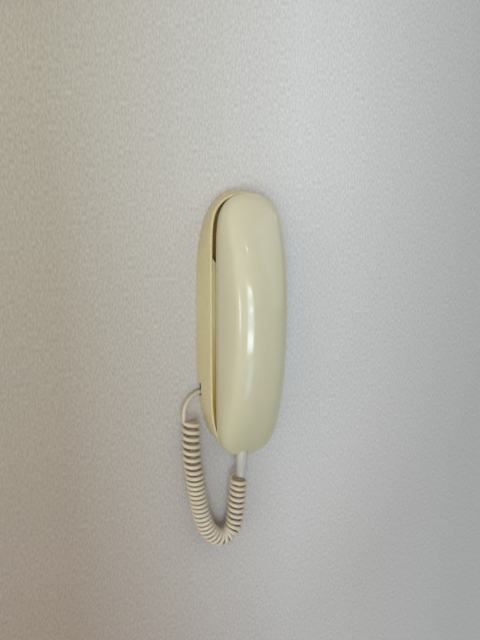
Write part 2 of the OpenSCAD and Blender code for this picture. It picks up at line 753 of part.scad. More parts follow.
module keypad_screws() color("silver") on_wall()
    for (x = [-1, 1] * pillar_x, y = pillar_y)
        translate([x, y, keyboard_z + board_t]) {
            cylinder(d = keypad_head_d, h = keypad_head_h);
            translate([0, 0, -board_t - keypad_screw_l])
                cylinder(d = pilot_d - run_gap, h = board_t + keypad_screw_l, $fn = 32);
        }

module cord_boot() color("whitesmoke") on_wall() swept(boot_route, boot_radii, 16);

// A key: cap, and the flange that keeps it behind the face
module key(i) color("beige") on_wall() translate(key_place(i)) {
    chamfer = 0.6;
    cap_z = edge_z - key_out;
    translate([0, 0, cap_z + chamfer]) linear_extrude(key_back - cap_z - chamfer)
        round_rect(key_w, key_l, 1.5);
    translate([0, 0, cap_z]) linear_extrude(chamfer)
        round_rect(key_w - 2 * chamfer, key_l - 2 * chamfer, 1.2);
    translate([0, 0, key_back - key_flange_h]) linear_extrude(key_flange_h)
        square([key_w + 2 * key_flange, key_l + 2 * key_flange], center = true);
}

wall_bracket();
base_shell();
cradle_plate();
cradle_screws();
hanger_clip();
base_board();
board_parts();
line_terminal();
ringer();
hook_switch();
hook_spring();
hook_plunger();
cord_clamp();
cord_lead();
cord_coil();
cord_tail();
handset_shell();
handset_face();
handset_screws();
receiver_gasket();
receiver_capsule();
mic_boot();
microphone();
handset_weight();
keypad_membrane();
keypad_board();
keypad_screws();
cord_boot();
key(0);  // key_1
key(1);  // key_2
key(2);  // key_3
key(3);  // key_4
key(4);  // key_5
key(5);  // key_6
key(6);  // key_7
key(7);  // key_8
key(8);  // key_9
key(9);  // key_star
key(10);  // key_0
key(11);  // key_hash
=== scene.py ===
"""Wall telephone with an arched handset: the looks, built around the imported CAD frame.

All lengths below are in millimetres in the part's own layout (x right, y up, z out of the wall),
and place() turns them into the frame: metres, X right, Y into the wall, Z up.
"""

import math

import bmesh
import bpy
from mathutils import Matrix, Vector


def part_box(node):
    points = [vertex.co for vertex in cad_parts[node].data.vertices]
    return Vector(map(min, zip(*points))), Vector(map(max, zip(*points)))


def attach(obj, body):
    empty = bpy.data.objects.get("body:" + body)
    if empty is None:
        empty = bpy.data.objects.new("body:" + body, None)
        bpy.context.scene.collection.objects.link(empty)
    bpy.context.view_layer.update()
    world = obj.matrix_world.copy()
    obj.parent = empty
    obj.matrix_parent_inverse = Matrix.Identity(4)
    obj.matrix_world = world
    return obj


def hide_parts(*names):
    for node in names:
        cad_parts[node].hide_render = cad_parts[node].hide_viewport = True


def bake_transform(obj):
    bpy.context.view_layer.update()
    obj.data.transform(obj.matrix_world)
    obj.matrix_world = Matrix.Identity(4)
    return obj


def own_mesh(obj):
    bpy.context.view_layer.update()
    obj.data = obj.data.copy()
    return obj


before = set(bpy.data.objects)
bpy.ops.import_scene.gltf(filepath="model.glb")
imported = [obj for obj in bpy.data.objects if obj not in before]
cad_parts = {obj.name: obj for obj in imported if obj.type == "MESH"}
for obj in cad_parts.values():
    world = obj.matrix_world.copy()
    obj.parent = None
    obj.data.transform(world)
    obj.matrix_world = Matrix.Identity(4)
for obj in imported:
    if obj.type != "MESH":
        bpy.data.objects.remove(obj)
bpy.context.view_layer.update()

# The telephone's dimensions, as in part.scad
FOOT = {"w": 64, "l": 197, "mid": -0.5, "p": 2.0, "q": (3.9, 3.9)}
RIM = {"w": 57, "l": 194, "mid": -1.5, "p": 1.8, "q": (7.0, 11.5)}
BASE_Z = 18.0
BASE_WALL = 2.0
RIM_T = 1.6
FLANK_BULGE = 1.6
DECK_LOW = 13.5
LUG_Y = (-60, -20, 20)
LUG_T = 1.5
HAND = {"w": 49, "l": 196, "mid": -3.0, "p": 1.85, "q": 10.5}
HAND_H = 32.5
HAND_WALL = 2.2
EDGE_Z = 18.4
ARCH_DROP_TOP = 0.30
ARCH_DROP_LOW = 0.37
ARCH_LEAN = 2.5
ARCH_M = 2.5
SECTION_N = 2.78
NOTCH_Y = -48.3
NOTCH_L = 10.0
NOTCH_H = 5.6
BOOT_X = -5.0
BOOT_R = 4.1
BOOT_Z = EDGE_Z + BOOT_R + 0.2
MEMBRANE_T = 0.8
DOME_H = 1.5
# Radius and height at each ring of a dome under a key
DOME = [(3.5, -0.1), (3.5, 0), (3.2, 0.5), (2.85, 1.05), (2.65, 1.3), (2.4, 1.45), (2.1, DOME_H)]
CORD_D = 3.2
COIL_D = 14.5
# Length of the coil's turns at shares of its length: they stand open at the top of the left leg
PITCHES = [(0, 5.8), (0.2, 5.4), (0.31, 3.9), (0.5, 3.8), (0.7, 3.9), (0.77, 4.8), (1.0, 4.9)]

# The cord's route, as in part.scad
LEAD_Y = NOTCH_Y - 2.5
LEAD_START = (-29.4, LEAD_Y, 2.6)
LEAD = [(-31.4, LEAD_Y, 2.6), (-34.2, -51.5, 3.3), (-39.4, -54, 4.8), (-43.4, -58, 6.5),
        (-45.5, -62, 7.8), (-46, -65.5, 8.5)]
COIL_START = (-40.6, -69.8, 8.5)
TAIL_LINE = Vector((-0.6, 3, 1.2)).normalized()
TAIL_SIDE = 2.3 * TAIL_LINE.cross(Vector((0, 0, 1))).normalized()
BOOT_END = Vector((-1.6, -118.2, 15.3))
TAIL_START = BOOT_END - 1.6 * TAIL_LINE
COIL_END = TAIL_START - TAIL_SIDE
COIL = [(-40.6, -72.8, 8.5), (-40.5, -84, 8.5), (-40, -98, 8.5), (-38.7, -110, 8.5),
        (-36.8, -126, 8.7), (-34.5, -139, 9), (-32.5, -148.5, 9.3), (-29.5, -157.5, 9.6),
        (-24.5, -165.5, 10), (-17, -170.3, 10.5), (-10, -168.5, 11), (-6.2, -161.5, 11.5),
        (-4.8, -153, 12), (-4, -141, 12.4), COIL_END - 3 * TAIL_LINE]
BOOT = [(BOOT_X, -93, BOOT_Z), (BOOT_X, -100, BOOT_Z), (-4.4, -106, 21.2), (-3.1, -111.5, 18.8),
        BOOT_END + 3 * TAIL_LINE, BOOT_END]
BOOT_RADII = [BOOT_R, BOOT_R, 4.1, 4.0, 3.9, 3.8]


# ---- small helpers ----

def place(p):
    """A point of the layout in the frame."""
    return Vector((p[0], -p[2], p[1])) / 1000


def direction(azimuth, elevation):
    """The way from the telephone to a place in the room; both angles are in degrees, the azimuth
    to the right of straight out of the wall."""
    a, e = math.radians(azimuth), math.radians(elevation)
    return Vector((math.sin(a) * math.cos(e), -math.cos(a) * math.cos(e), math.sin(e)))


def new_mesh(name, points, faces, smooth_angle=35):
    """An object from points in the layout, shaded smooth except at edges sharper than the angle."""
    mesh = bpy.data.meshes.new(name)
    mesh.from_pydata([place(p) for p in points], [], faces)
    mesh.validate()
    obj = bpy.data.objects.new(name, mesh)
    bpy.context.scene.collection.objects.link(obj)
    finish_mesh(obj, smooth_angle)
    return obj


def finish_mesh(obj, smooth_angle):
    """Joins doubled points, turns the faces outwards and shades the mesh smooth."""
    bm = bmesh.new()
    bm.from_mesh(obj.data)
    bmesh.ops.remove_doubles(bm, verts=bm.verts, dist=1e-7)
    bmesh.ops.recalc_face_normals(bm, faces=bm.faces)
    bm.to_mesh(obj.data)
    bm.free()
    obj.data.shade_smooth()
    obj.data.set_sharp_from_angle(angle=math.radians(smooth_angle))


def apply_modifiers(obj):
    """Writes an object's modifiers into its mesh."""
    evaluated = obj.evaluated_get(bpy.context.evaluated_depsgraph_get())
    mesh = bpy.data.meshes.new_from_object(evaluated)
    obj.modifiers.clear()
    obj.data = mesh


def cut(obj, *cutters):
    """Takes the cutters out of an object."""
    for cutter in cutters:
        m = obj.modifiers.new("cut", "BOOLEAN")
        m.operation = "DIFFERENCE"
        m.solver = "EXACT"
        m.object = cutter
        bpy.context.view_layer.update()
        apply_modifiers(obj)
        bpy.data.objects.remove(cutter)


def box(name, low, high):
    """A box between two corners in the layout."""
    points = [(x, y, z) for x in (low[0], high[0]) for y in (low[1], high[1])
              for z in (low[2], high[2])]
    faces = [(0, 1, 3, 2), (4, 6, 7, 5), (0, 4, 5, 1), (2, 3, 7, 6), (0, 2, 6, 4), (1, 5, 7, 3)]
    return new_mesh(name, points, faces)


def grid_faces(rows, cols, wrap_rows, wrap_cols):
    """Quads over a grid of points, row after row."""
    faces = []
    for i in range(rows if wrap_rows else rows - 1):
        for j in range(cols if wrap_cols else cols - 1):
            i1, j1 = (i + 1) % rows, (j + 1) % cols
            faces.append((i * cols + j, i * cols + j1, i1 * cols + j1, i1 * cols + j))
    return faces


def half_at(a, v, p, q):
    """Half the width of an outline at the share v of its half length."""
    return a * max(0.0, 1 - abs(v) ** q) ** (1 / p)


def outline_point(a, b, mid, p, q, t):
    """A point of an outline at the angle t, as in part.scad; q holds the lower and upper exponent."""
    half = half_at(a, math.sin(t), p, q[1] if math.sin(t) > 0 else q[0])
    return math.copysign(half, math.cos(t)), mid + b * math.sin(t)


def curved(route, steps):
    """Catmull-Rom curve through the points of a route."""
    pts = [Vector(p) for p in route]
    n = len(pts) - 1
    line = []
    for i in range(n):
        a, b, c, d = pts[max(i - 1, 0)], pts[i], pts[i + 1], pts[min(i + 2, n)]
        for s in range(steps):
            u = s / steps
            line.append(0.5 * (2 * b + (c - a) * u + (2 * a - 5 * b + 4 * c - d) * u * u
                               + (3 * b - 3 * c + d - a) * u ** 3))
    line.append(pts[n])
    return line


def frames_along(line):
    """Tangent and two normals at each point, carried along the line without twist."""
    n = len(line)
    tangents = [(line[min(i + 1, n - 1)] - line[max(i - 1, 0)]).normalized() for i in range(n)]
    side = Vector((0, 0, 1)) if abs(tangents[0].x) > 0.9 else Vector((-1, 0, 0))
    result = []
    for t in tangents:
        side = (side - side.dot(t) * t).normalized()
        result.append((t, side, t.cross(side)))
    return result


def tube(name, line, radii, sides):
    """A closed tube of round section along a line."""
    points = []
    for p, r, (_, u, v) in zip(line, radii, frames_along(line)):
        for k in range(sides):
            a = 2 * math.pi * k / sides
            points.append(p + r * (math.cos(a) * u + math.sin(a) * v))
    faces = grid_faces(len(line), sides, False, True)
    faces.append(tuple(range(sides)))
    faces.append(tuple((len(line) - 1) * sides + k for k in range(sides)))
    return new_mesh(name, points, faces, 60)


# ---- materials ----

def node_material(name):
    """A new material, its nodes and links, and its shader."""
    mat = bpy.data.materials.new(name)
    mat.use_nodes = True
    nodes = mat.node_tree.nodes
    return mat, nodes, mat.node_tree.links, nodes["Principled BSDF"]


def noise(nodes, links, scale, detail):
    """Noise with so many waves per metre."""
    coord = nodes.new("ShaderNodeTexCoord")
    tex = nodes.new("ShaderNodeTexNoise")
    tex.inputs["Scale"].default_value = scale
    tex.inputs["Detail"].default_value = detail
    links.new(coord.outputs["Object"], tex.inputs["Vector"])
    return tex.outputs["Fac"]


def spread(nodes, links, value, low, high, source=(0.3, 0.7)):
    """A value stretched to run from low to high, from the range that noise mostly fills."""
    m = nodes.new("ShaderNodeMapRange")
    m.inputs["From Min"].default_value = source[0]
    m.inputs["From Max"].default_value = source[1]
    m.inputs["To Min"].default_value = low
    m.inputs["To Max"].default_value = high
    links.new(value, m.inputs["Value"])
    return m.outputs["Result"]


def mix_colour(nodes, links, factor, a, b):
    """Colour a where the factor is 0 and b where it is 1; each may be a colour or a socket."""
    m = nodes.new("ShaderNodeMix")
    m.data_type = "RGBA"
    for socket, value in ((m.inputs["A"], a), (m.inputs["B"], b)):
        if hasattr(value, "is_linked"):
            links.new(value, socket)
        else:
            socket.default_value = (*value, 1)
    links.new(factor, m.inputs["Factor"])
    return m.outputs["Result"]


def bump(nodes, links, bsdf, height, strength, distance, under=None):
    """Relief on the shader's normal, over another relief where one is given."""
    b = nodes.new("ShaderNodeBump")
    b.inputs["Strength"].default_value = strength
    b.inputs["Distance"].default_value = distance
    links.new(height, b.inputs["Height"])
    if under is not None:
        links.new(under, b.inputs["Normal"])
    links.new(b.outputs["Normal"], bsdf.inputs["Normal"])
    return b.outputs["Normal"]


def off_middle(nodes, links, coord):
    """How far a point lies from the middle of the base: 1 where the handset's cover ends."""
    half_width, end_strip = 0.0195, 0.008
    low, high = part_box("cradle_plate")
    centred = nodes.new("ShaderNodeVectorMath")
    centred.operation = "SUBTRACT"
    centred.inputs[1].default_value = (0, 0, (low.z + high.z) / 2)
    scaled = nodes.new("ShaderNodeVectorMath")
    scaled.operation = "DIVIDE"
    scaled.inputs[1].default_value = (half_width, 1, (high.z - low.z) / 2 - end_strip)
    size = nodes.new("ShaderNodeVectorMath")
    size.operation = "ABSOLUTE"
    split = nodes.new("ShaderNodeSeparateXYZ")
    most = nodes.new("ShaderNodeMath")
    most.operation = "MAXIMUM"
    links.new(coord.outputs["Object"], centred.inputs[0])
    links.new(centred.outputs["Vector"], scaled.inputs[0])
    links.new(scaled.outputs["Vector"], size.inputs[0])
    links.new(size.outputs["Vector"], split.inputs["Vector"])
    links.new(split.outputs["X"], most.inputs[0])
    links.new(split.outputs["Z"], most.inputs[1])
    return most.outputs["Value"]


def moulded(name, colour, aged, rough, coat=0.0, fades=()):
    """Moulded plastic that has yellowed unevenly. Each fade is an axis of the frame or "middle",
    the places where another colour starts and where it is full, that colour, and its most."""
    mat, nodes, links, bsdf = node_material(name)
    cloud = spread(nodes, links, noise(nodes, links, 14, 4), 0, 1)
    base = mix_colour(nodes, links, cloud, colour, aged)
    fleck = spread(nodes, links, noise(nodes, links, 210, 2), 0.0, 0.12)
    dark = tuple(0.8 * c for c in aged)
    base = mix_colour(nodes, links, fleck, base, dark)
    coord = nodes.new("ShaderNodeTexCoord")
    split = nodes.new("ShaderNodeSeparateXYZ")
    links.new(coord.outputs["Object"], split.inputs["Vector"])
    for axis, start, full, other, most in fades:
        ends = (start, full) if start < full else (full, start)
        low, high = (0, most) if start < full else (most, 0)
        along = off_middle(nodes, links, coord) if axis == "middle" else split.outputs[axis]
        share = spread(nodes, links, along, low, high, ends)
        base = mix_colour(nodes, links, share, base, other)
    links.new(base, bsdf.inputs["Base Color"])
    links.new(spread(nodes, links, noise(nodes, links, 60, 3), *rough), bsdf.inputs["Roughness"])
    wave = bump(nodes, links, bsdf, noise(nodes, links, 55, 1), 1.0, 0.00005)
    bump(nodes, links, bsdf, noise(nodes, links, 1400, 2), 0.25, 0.00002, wave)
    bsdf.inputs["Coat Weight"].default_value = coat
    bsdf.inputs["Coat Roughness"].default_value = 0.08
    return mat


def metal(name, colour, rough=(0.28, 0.42)):
    """Plated sheet with a faint rolled grain."""
    mat, nodes, links, bsdf = node_material(name)
    tone = spread(nodes, links, noise(nodes, links, 160, 4), 0, 1)
    links.new(mix_colour(nodes, links, tone, colour, tuple(c * 0.8 for c in colour)),
              bsdf.inputs["Base Color"])
    links.new(spread(nodes, links, noise(nodes, links, 300, 3), *rough), bsdf.inputs["Roughness"])
    bump(nodes, links, bsdf, noise(nodes, links, 2200, 2), 0.2, 0.00001)
    bsdf.inputs["Metallic"].default_value = 1
    return mat


def rubber(name, colour):
    """Matt rubber with a fine powdery surface."""
    mat, nodes, links, bsdf = node_material(name)
    tone = spread(nodes, links, noise(nodes, links, 200, 3), 0, 1)
    links.new(mix_colour(nodes, links, tone, colour, tuple(c * 1.5 for c in colour)),
              bsdf.inputs["Base Color"])
    links.new(spread(nodes, links, noise(nodes, links, 500, 2), 0.6, 0.8), bsdf.inputs["Roughness"])
    bump(nodes, links, bsdf, noise(nodes, links, 2500, 2), 0.3, 0.00002)
    return mat


def circuit_board(name):
    """Green lacquer over copper tracks."""
    mat, nodes, links, bsdf = node_material(name)
    coord = nodes.new("ShaderNodeTexCoord")
    brick = nodes.new("ShaderNodeTexBrick")
    brick.inputs["Scale"].default_value = 240
    brick.inputs["Mortar Size"].default_value = 0.08
    brick.inputs["Color1"].default_value = (0.03, 0.13, 0.05, 1)
    brick.inputs["Color2"].default_value = (0.04, 0.17, 0.07, 1)
    brick.inputs["Mortar"].default_value = (0.09, 0.26, 0.1, 1)
    turn = nodes.new("ShaderNodeMapping")
    turn.inputs["Rotation"].default_value = (math.pi / 2, 0, 0)
    links.new(coord.outputs["Object"], turn.inputs["Vector"])
    links.new(turn.outputs["Vector"], brick.inputs["Vector"])
    links.new(brick.outputs["Color"], bsdf.inputs["Base Color"])
    links.new(spread(nodes, links, noise(nodes, links, 400, 2), 0.25, 0.4), bsdf.inputs["Roughness"])
    return mat


def cord_vinyl(name):
    """Cream vinyl with painted shade where the turns face each other and on the coil's inside."""
    mat, nodes, links, bsdf = node_material(name)
    hidden = nodes.new("ShaderNodeAttribute")
    hidden.attribute_name = "painted_shade_side"
    cloud = spread(nodes, links, noise(nodes, links, 90, 3), 0, 1)
    own_colour = mix_colour(nodes, links, cloud, (0.52, 0.46, 0.355), (0.46, 0.395, 0.29))
    links.new(mix_colour(nodes, links, hidden.outputs["Fac"], own_colour, (0.42, 0.31, 0.19)),
              bsdf.inputs["Base Color"])
    links.new(spread(nodes, links, noise(nodes, links, 300, 2), 0.38, 0.5), bsdf.inputs["Roughness"])
    bsdf.inputs["Subsurface Weight"].default_value = 0.35
    bsdf.inputs["Subsurface Radius"].default_value = (1.0, 0.7, 0.45)
    bsdf.inputs["Subsurface Scale"].default_value = 0.0015
    bump(nodes, links, bsdf, noise(nodes, links, 1800, 2), 0.2, 0.00002)
    return mat


def milky_vinyl(name):
    """Clear vinyl gone milky: light passes into it, and long flow lines show inside."""
    mat, nodes, links, bsdf = node_material(name)
    coord = nodes.new("ShaderNodeTexCoord")
    stretch = nodes.new("ShaderNodeMapping")
    stretch.inputs["Scale"].default_value = (1, 1, 0.12)
    flow = nodes.new("ShaderNodeTexNoise")
    flow.inputs["Scale"].default_value = 420
    flow.inputs["Detail"].default_value = 2
    links.new(coord.outputs["Object"], stretch.inputs["Vector"])
    links.new(stretch.outputs["Vector"], flow.inputs["Vector"])
    lines = spread(nodes, links, flow.outputs["Fac"], 0, 1)
    links.new(mix_colour(nodes, links, lines, (0.5, 0.48, 0.44), (0.4, 0.375, 0.33)),
              bsdf.inputs["Base Color"])
    links.new(spread(nodes, links, noise(nodes, links, 200, 2), 0.16, 0.24), bsdf.inputs["Roughness"])
    bsdf.inputs["Subsurface Weight"].default_value = 0.6
    bsdf.inputs["Subsurface Radius"].default_value = (1.0, 0.95, 0.85)
    bsdf.inputs["Subsurface Scale"].default_value = 0.003
    bsdf.inputs["IOR"].default_value = 1.45
    return mat


# painted shade: the brown that the recess around the cradle turns to
RECESS_SHADE = (0.47, 0.25, 0.025)

# painted shade: the handset turns darker and yellower towards its lower end
HANDSET_IVORY = moulded("handset_ivory", (0.515, 0.478, 0.342), (0.49, 0.448, 0.305),
                        rough=(0.13, 0.17), coat=0.2,
                        fades=[("Z", -0.02, -0.1, (0.455, 0.403, 0.25), 0.85)])
# painted highlight: the rim's top edge is lighter; the base also turns lighter and warmer towards its
# lower end
BASE_IVORY = moulded("base_ivory", (0.475, 0.415, 0.24), (0.45, 0.38, 0.21), rough=(0.22, 0.3),
                     fades=[("Z", -0.04, -0.08, (0.54, 0.455, 0.25), 1.0),
                            ("Y", -0.0168, -0.0176, (0.525, 0.447, 0.25), 1.0)])
# painted shade in the recess: darker lower down and deeper in towards the wall
RECESS_SHADE_FADES = [("Z", 0.005, -0.06, RECESS_SHADE, 1.0), ("Y", -0.0135, -0.0085, RECESS_SHADE, 1.0)]
INSIDE_IVORY = moulded("inside_ivory", (0.55, 0.42, 0.18), (0.51, 0.38, 0.15), rough=(0.4, 0.5),
                       fades=RECESS_SHADE_FADES)
CRADLE_IVORY = moulded("cradle_ivory", (0.7, 0.56, 0.27), (0.66, 0.51, 0.23), rough=(0.36, 0.46),
                       fades=RECESS_SHADE_FADES + [("middle", 1, 0.86, (0.5, 0.45, 0.3), 1.0)])
KEY_IVORY = moulded("key_ivory", (0.62, 0.6, 0.5), (0.58, 0.55, 0.43), rough=(0.4, 0.5))
LEGEND = moulded("legend_ink", (0.035, 0.033, 0.03), (0.05, 0.047, 0.04), rough=(0.5, 0.6))
HOOK_GREY = moulded("hook_grey", (0.3, 0.29, 0.26), (0.26, 0.25, 0.22), rough=(0.35, 0.45))
BLACK_PARTS = moulded("component_black", (0.03, 0.03, 0.032), (0.045, 0.045, 0.045), rough=(0.35, 0.5))
BOARD = circuit_board("board_green")
STEEL = metal("zinc_steel", (0.56, 0.57, 0.58))
SCREW_STEEL = metal("screw_steel", (0.62, 0.62, 0.6), rough=(0.2, 0.32))
BLACK_RUBBER = rubber("black_rubber", (0.02, 0.02, 0.02))
GREY_RUBBER = rubber("grey_rubber", (0.3, 0.3, 0.29))
CORD_VINYL = cord_vinyl("cord_vinyl")
MILKY = milky_vinyl("milky_vinyl")

NODE_LOOKS = {
    "wall_bracket": STEEL, "cradle_plate": CRADLE_IVORY, "cradle_screws": SCREW_STEEL,
    "hanger_clip": CRADLE_IVORY, "base_board": BOARD, "board_parts": BLACK_PARTS,
    "line_terminal": BLACK_PARTS, "ringer": BLACK_PARTS, "hook_switch": BLACK_PARTS,
    # the cord clamp is black so that the cord's notch shows dark: painted shade
    "hook_spring": SCREW_STEEL, "hook_plunger": HOOK_GREY, "cord_clamp": BLACK_PARTS,
    "handset_face": HANDSET_IVORY, "handset_screws": SCREW_STEEL, "receiver_gasket": BLACK_RUBBER,
    "receiver_capsule": BLACK_PARTS, "mic_boot": BLACK_RUBBER, "microphone": SCREW_STEEL,
    "handset_weight": STEEL, "keypad_board": BOARD, "keypad_screws": SCREW_STEEL,
}
# Nodes whose edges are rounded, with the radius in mm
EDGE_ROUND = {"cradle_plate": 0.35, "hanger_clip": 0.4, "handset_face": 0.3, "hook_plunger": 0.2,
              "wall_bracket": 0.15, "line_terminal": 0.25, "ringer": 0.4, "hook_switch": 0.2,
              "cord_clamp": 0.3, "handset_weight": 0.4}

KEYS = [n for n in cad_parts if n.startswith("key_")]
for key in KEYS:
    NODE_LOOKS[key] = KEY_IVORY
    EDGE_ROUND[key] = 0.3


def round_edges(obj, radius, segments, angle):
    """Rounds the edges that are sharper than the angle, in degrees; the radius is in mm."""
    m = obj.modifiers.new("edges", "BEVEL")
    m.width = radius / 1000
    m.segments = segments
    m.limit_method = "ANGLE"
    m.angle_limit = math.radians(angle)
    m.harden_normals = True


for name, look in NODE_LOOKS.items():
    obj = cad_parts[name]
    obj.data.materials.clear()
    obj.data.materials.append(look)
    if name in EDGE_ROUND:
        round_edges(obj, EDGE_ROUND[name], segments=2, angle=40)


def dress(obj, look, body):
    """Gives a new piece its material and the body it moves with."""
    obj.data.materials.clear()
    obj.data.materials.append(look)
    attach(obj, body)


# ---- base ring ----

def flank_point(z, inset, t):
    """A point of the base's flank, which bulges from the foot on the wall to the rim."""
    s = (max(z, 0.0) / BASE_Z) ** FLANK_BULGE
    a = FOOT["w"] / 2 + (RIM["w"] - FOOT["w"]) / 2 * s - inset
    b = FOOT["l"] / 2 + (RIM["l"] - FOOT["l"]) / 2 * s - inset
    mid, p = (FOOT[k] + (RIM[k] - FOOT[k]) * s for k in ("mid", "p"))
    q = [low + (high - low) * s for low, high in zip(FOOT["q"], RIM["q"])]
    x, y = outline_point(a, b, mid, p, q, t)
    return x, y, z


def rim_point(z, inset, t):
    """A point of the base's upright rim."""
    x, y = outline_point(RIM["w"] / 2 - inset, RIM["l"] / 2 - inset, RIM["mid"], RIM["p"], RIM["q"], t)
    return x, y, z


def base_ring():
    """The base's shell: flank, rounded rim and inner faces, with the cord's notch and the lugs
    that carry the deck."""
    steps = 360
    edge = 0.5
    arc = [math.radians(a) for a in (0, 22.5, 45, 67.5, 90)]
    heights = (0, 1.25, 2.5, 4, 5.5, 7, 8.5, 10, 11.5, 13, 14.5, 16)
    inner_heights = (10.5, 8, 5, 2.5, 0)
    points = []
    for k in range(steps):
        t = 2 * math.pi * (k + 0.5) / steps
        points += [flank_point(z, 0, t) for z in heights]
        points += [rim_point(BASE_Z - edge + edge * math.sin(a), edge - edge * math.cos(a), t)
                   for a in arc]
        points += [rim_point(BASE_Z - edge + edge * math.cos(a), RIM_T - edge + edge * math.sin(a), t)
                   for a in arc]
        points += [rim_point(DECK_LOW - LUG_T, RIM_T, t)]
        points += [flank_point(z, BASE_WALL, t) for z in inner_heights]
    cols = len(points) // steps
    ring = new_mesh("base_ring", points, grid_faces(steps, cols, True, True))
    # the notch is cut from outside the left flank to inside it
    notch_out, notch_in = -40, -20
    cut(ring, box("notch", (notch_out, NOTCH_Y - NOTCH_L / 2, -1),
                  (notch_in, NOTCH_Y + NOTCH_L / 2, NOTCH_H)))
    finish_mesh(ring, 50)
    rim_in = RIM["w"] / 2 - RIM_T
    lug_reach, lug_root, lug_half = 1.8, 1, 4
    for side, word in ((-1, "left"), (1, "right")):
        for y in LUG_Y:
            x0, x1 = sorted((side * (rim_in - lug_reach), side * (rim_in + lug_root)))
            lug = box(f"lug_{word}_{y - LUG_Y[0]}", (x0, y - lug_half, DECK_LOW - LUG_T),
                      (x1, y + lug_half, DECK_LOW))
            dress(lug, BASE_IVORY, "base")
    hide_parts("base_shell")
    dress(ring, BASE_IVORY, "base")
    # the faces towards the cradle get the browner inside material, with painted shade deeper in and lower
    # down
    painted_shade_top = (BASE_Z - 0.6) / 1000
    ring.data.materials.append(INSIDE_IVORY)
    for face in ring.data.polygons:
        outwards = Vector((face.center.x, 0, face.center.z - RIM["mid"] / 1000))
        if -face.center.y < painted_shade_top and face.normal.dot(outwards) < 0:
            face.material_index = 1


base_ring()


# ---- handset ----

def crown(v, inset):
    """Height of the handset's arch at the share v of its half length."""
    drop = ARCH_DROP_TOP if v > 0 else ARCH_DROP_LOW
    return ((HAND_H - inset) * (1 - drop * v * v) + ARCH_LEAN * v) * max(0.0, 1 - abs(v) ** ARCH_M) ** 0.5


def skin_rows(inset, rows, cols):
    """Sections of a skin from end to end, each from its right edge over the crown to its left edge."""
    result = []
    e = 2 / SECTION_N
    for i in range(1, rows):
        v = math.sin(-math.pi / 2 + math.pi * i / rows)
        w = half_at(HAND["w"] / 2 - inset, v, HAND["p"], HAND["q"])
        h = crown(v, inset)
        y = HAND["mid"] + (HAND["l"] / 2 - inset) * v
        row = []
        for j in range(cols + 1):
            a = math.pi * j / cols
            c, s = math.cos(a), math.sin(a)
            row.append((w * math.copysign(abs(c) ** e, c), y, EDGE_Z + h * max(s, 0.0) ** e))
        result.append(row)
    return result


def handset_back():
    """The handset's arched shell, an outer and an inner skin joined at the edge, with the boot's
    way in at the lower end."""
    rows, cols = 160, 96
    width = cols + 1
    points, faces = [], []
    starts = []
    for inset in (0.0, HAND_WALL):
        start = len(points)
        starts.append(start)
        points.append((0, HAND["mid"] - HAND["l"] / 2 + inset, EDGE_Z))
        for row in skin_rows(inset, rows, cols):
            points += row
        points.append((0, HAND["mid"] + HAND["l"] / 2 - inset, EDGE_Z))
        low, high = start, len(points) - 1
        first, last = start + 1, high - width
        faces += [(low, first + j + 1, first + j) for j in range(cols)]
        faces += [tuple(first + k for k in f) for f in grid_faces(rows - 1, width, False, False)]
        faces += [(last + j, last + j + 1, high) for j in range(cols)]
    size = starts[1] - starts[0]
    for j in (0, cols):
        side = [0] + [1 + i * width + j for i in range(rows - 1)] + [size - 1]
        faces += [(side[i], side[i + 1], side[i + 1] + size, side[i] + size) for i in range(rows)]
    back = new_mesh("handset_back", points, faces, 40)
    # the boot's way in: round above and straight down to the edge
    clearance = 0.15
    r = BOOT_R + clearance
    outer, inner = HAND["mid"] - HAND["l"] / 2 - 1, BOOT[0][1] + clearance
    way = tube("way", [Vector((BOOT_X, outer, BOOT_Z)), Vector((BOOT_X, inner, BOOT_Z))], [r, r], 48)
    cut(back, way, box("way_low", (BOOT_X - r, outer, EDGE_Z - 1), (BOOT_X + r, inner, BOOT_Z)))
    finish_mesh(back, 40)
    round_edges(back, radius=0.4, segments=3, angle=50)
    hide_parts("handset_shell")
    dress(back, HANDSET_IVORY, "handset")


handset_back()


# ---- boot and cord ----

def boot():
    """The strain relief that bends out of the handset's lower end."""
    line = curved(BOOT, 6)
    n = len(line) - 1
    radii = []
    for i in range(n + 1):
        f = i / n * (len(BOOT_RADII) - 1)
        k = min(int(f), len(BOOT_RADII) - 2)
        radii.append(BOOT_RADII[k] + (BOOT_RADII[k + 1] - BOOT_RADII[k]) * (f - k))
    # a rounded lower edge
    line[-1:] = [line[-1] + 0.5 * TAIL_LINE, line[-1] + 0.15 * TAIL_LINE, line[-1]]
    radii[-1:] = [radii[-1], radii[-1] - 0.15, radii[-1] - 0.5]
    piece = tube("strain_relief", line, radii, 32)
    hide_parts("cord_boot")
    dress(piece, MILKY, "handset")


boot()


# ---- keypad membrane ----

def membrane():
    """The rubber sheet behind the keys. Its domes are pieces of their own, one under each key."""
    low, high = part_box("keypad_membrane")
    back = -1000 * low.y
    seat = back - MEMBRANE_T
    sheet = box("membrane_sheet", (1000 * low.x, 1000 * low.z, seat),
                (1000 * high.x, 1000 * high.z, back))
    edges = sheet.modifiers.new("edges", "BEVEL")
    edges.width = 0.0002
    edges.segments = 2
    apply_modifiers(sheet)
    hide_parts("keypad_membrane")
    dress(sheet, GREY_RUBBER, "handset")
    sides = 32
    faces = grid_faces(len(DOME), sides, False, True)
    faces.append(tuple(range((len(DOME) - 1) * sides, len(DOME) * sides)))
    turns = [2 * math.pi * k / sides for k in range(sides)]
    for key in KEYS:
        low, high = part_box(key)
        x, y = 500 * (low.x + high.x), 500 * (low.z + high.z)
        points = [(x + r * math.cos(t), y + r * math.sin(t), seat - h) for r, h in DOME for t in turns]
        dome = new_mesh(f"dome_{key[4:]}", points, faces)
        dress(dome, GREY_RUBBER, "handset")
        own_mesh(dome)


membrane()


